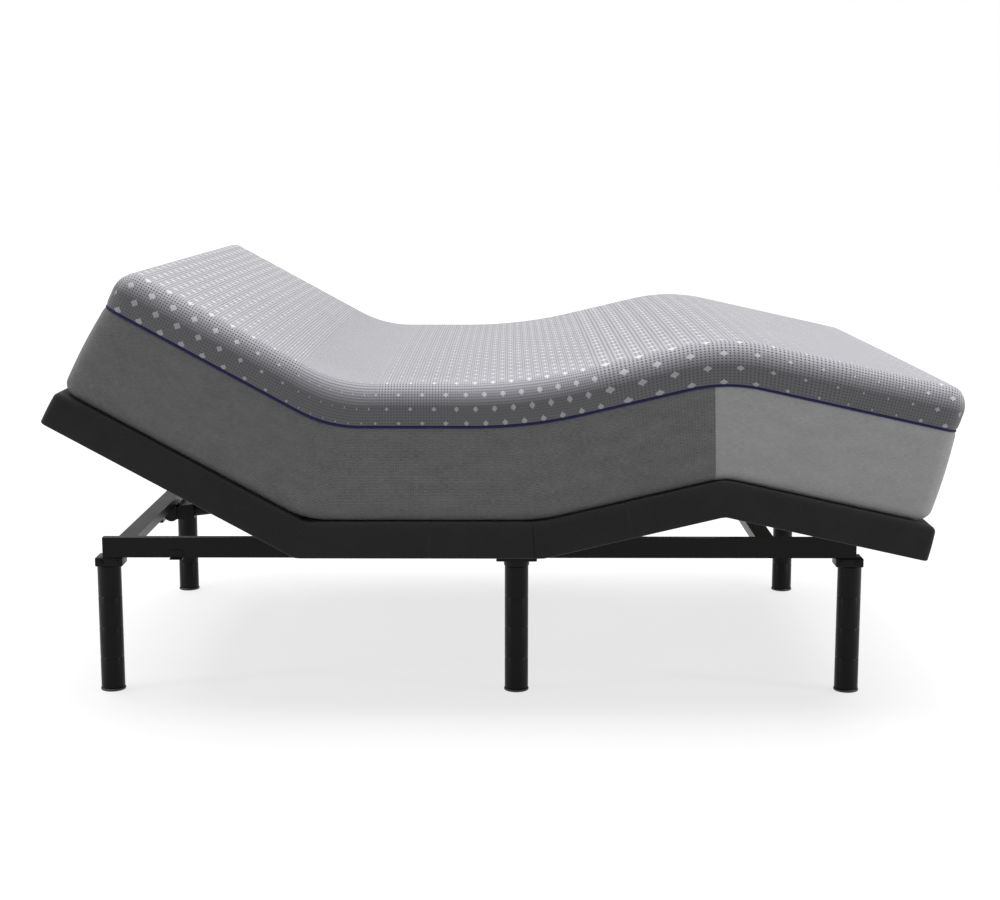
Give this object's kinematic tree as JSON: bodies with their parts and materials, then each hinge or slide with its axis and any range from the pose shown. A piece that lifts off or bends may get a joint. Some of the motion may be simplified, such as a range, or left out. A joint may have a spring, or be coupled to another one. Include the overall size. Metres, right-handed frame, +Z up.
{
  "type": "adjustable bed base",
  "caption": "Adjustable queen bed base on round legs with a hinged upholstered deck, raised head and knees, and its mattress.",
  "frame": {"origin": "on the floor, under the middle of the whole bed's box", "axes": "+X towards the foot end, +Y towards the bed's left side, +Z up"},
  "size_m": [2.0492, 1.524, 1.0158],
  "materials": {
    "frame_black": "satin powder coat",
    "leg_black": "satin powder coat",
    "plastic_black": "matte moulded",
    "steel": "zinc plated",
    "plywood": "sanded",
    "deck_fabric": "woven twill",
    "mattress_border": "ribbed border fabric",
    "mattress_foot_border": "brushed border fabric",
    "mattress_top": "knitted with a diamond pattern",
    "mattress_piping": "woven tape"
  },
  "bodies": {
    "frame": {"control_box": "plastic_black", "foot_cross_rail": "frame_black", "head_cross_rail": "frame_black", "head_hinge_fixed_leaf": "steel", "knee_cross_rail": "frame_black", "leg_bracket_foot_left": "frame_black", "leg_bracket_foot_right": "frame_black", "leg_bracket_head_left": "frame_black", "leg_bracket_head_right": "frame_black", "leg_bracket_middle_left": "frame_black", "leg_bracket_middle_right": "frame_black", "leg_foot_left": "leg_black", "leg_foot_right": "leg_black", "leg_glide_foot_left": "plastic_black", "leg_glide_foot_right": "plastic_black", "leg_glide_head_left": "plastic_black", "leg_glide_head_right": "plastic_black", "leg_glide_middle_left": "plastic_black", "leg_glide_middle_right": "plastic_black", "leg_head_left": "leg_black", "leg_head_right": "leg_black", "leg_middle_left": "leg_black", "leg_middle_right": "leg_black", "mattress_seat": "mattress_border", "middle_cross_rail": "frame_black", "seat_board": "plywood", "seat_cover": "deck_fabric", "seat_hinge_fixed_leaf": "steel", "side_rail_left": "frame_black", "side_rail_right": "frame_black"},
    "head_section": {"head_board": "plywood", "head_cover": "deck_fabric", "mattress_head": "mattress_border", "head_hinge_moving_leaf": "steel", "head_lift_bracket": "frame_black"},
    "thigh_section": {"thigh_board": "plywood", "thigh_cover": "deck_fabric", "mattress_thigh": "mattress_border", "seat_hinge_moving_leaf": "steel", "knee_hinge_fixed_leaf": "steel", "thigh_lever": "frame_black"},
    "foot_section": {"foot_board": "plywood", "foot_cover": "deck_fabric", "mattress_foot": "mattress_foot_border", "knee_hinge_moving_leaf": "steel", "foot_tie_bracket_left": "frame_black", "foot_tie_bracket_right": "frame_black"},
    "lift_arm": {"head_lift_arm": "frame_black"},
    "lift_links": {"head_lift_link_left": "steel", "head_lift_link_right": "steel"},
    "head_actuator": {"head_actuator_housing": "frame_black", "head_actuator_motor": "plastic_black"},
    "head_rod": {"head_actuator_push_rod": "steel"},
    "thigh_actuator": {"thigh_actuator_housing": "frame_black", "thigh_actuator_motor": "plastic_black"},
    "thigh_rod": {"thigh_actuator_push_rod": "steel"},
    "tie_links": {"tie_link_left": "steel", "tie_link_right": "steel"}
  },
  "joints": [
    {"name": "head_lift", "type": "hinge", "parent": "frame", "child": "head_section", "pos_m": [-0.46917, 0, 0.3704], "axis": [0, 1, 0], "range_deg": [-28.7, 26.3]},
    {"name": "lift_arm_turn", "type": "hinge", "parent": "frame", "child": "lift_arm", "pos_m": [-0.49917, 0, 0.345], "axis": [0, 1, 0], "range_deg": [-28.7, 26.3]},
    {"name": "lift_link_turn", "type": "hinge", "parent": "lift_arm", "child": "lift_links", "pos_m": [-0.68805, 0, 0.41648], "axis": [0, 1, 0], "range_deg": [-26.3, 28.7]},
    {"name": "head_actuator_tilt", "type": "hinge", "parent": "frame", "child": "head_actuator", "pos_m": [-0.88517, 0, 0.33], "axis": [0, -1, 0], "range_deg": [-2.68, 2.46]},
    {"name": "head_rod_slide", "type": "slide", "parent": "head_actuator", "child": "head_rod", "axis": [0.9929, 0, 0.1189], "range_m": [-0.015, 0.01375]},
    {"name": "thigh_lift", "type": "hinge", "parent": "frame", "child": "thigh_section", "pos_m": [0.08683, 0, 0.3704], "axis": [0, -1, 0], "range_deg": [-13.3, 16.7]},
    {"name": "knee_bend", "type": "hinge", "parent": "thigh_section", "child": "foot_section", "pos_m": [0.48583, 0, 0.46472], "axis": [0, 1, 0], "range_deg": [-25.8, 32.4]},
    {"name": "thigh_actuator_tilt", "type": "hinge", "parent": "frame", "child": "thigh_actuator", "pos_m": [-0.24917, 0, 0.315], "axis": [0, -1, 0], "range_deg": [-2.2, 2.77]},
    {"name": "thigh_rod_slide", "type": "slide", "parent": "thigh_actuator", "child": "thigh_rod", "axis": [0.9948, 0, -0.1019], "range_m": [-0.02042, 0.02564]},
    {"name": "tie_link_turn", "type": "hinge", "parent": "frame", "child": "tie_links", "pos_m": [0.05883, 0, 0.3374], "axis": [0, -1, 0], "range_deg": [-12.88, 16.18]}
  ],
  "couplings": [
    {"joint": "lift_arm_turn", "follows": "head_lift", "ratio": 1},
    {"joint": "lift_link_turn", "follows": "head_lift", "ratio": -1},
    {"joint": "head_actuator_tilt", "follows": "head_lift", "ratio": 0.09349},
    {"joint": "head_rod_slide", "follows": "head_lift", "m_per_rad": 0.029924},
    {"joint": "knee_bend", "follows": "thigh_lift", "ratio": 1.9399},
    {"joint": "thigh_actuator_tilt", "follows": "thigh_lift", "ratio": 0.16567},
    {"joint": "thigh_rod_slide", "follows": "thigh_lift", "m_per_rad": 0.087945},
    {"joint": "tie_link_turn", "follows": "thigh_lift", "ratio": 0.9686}
  ]
}
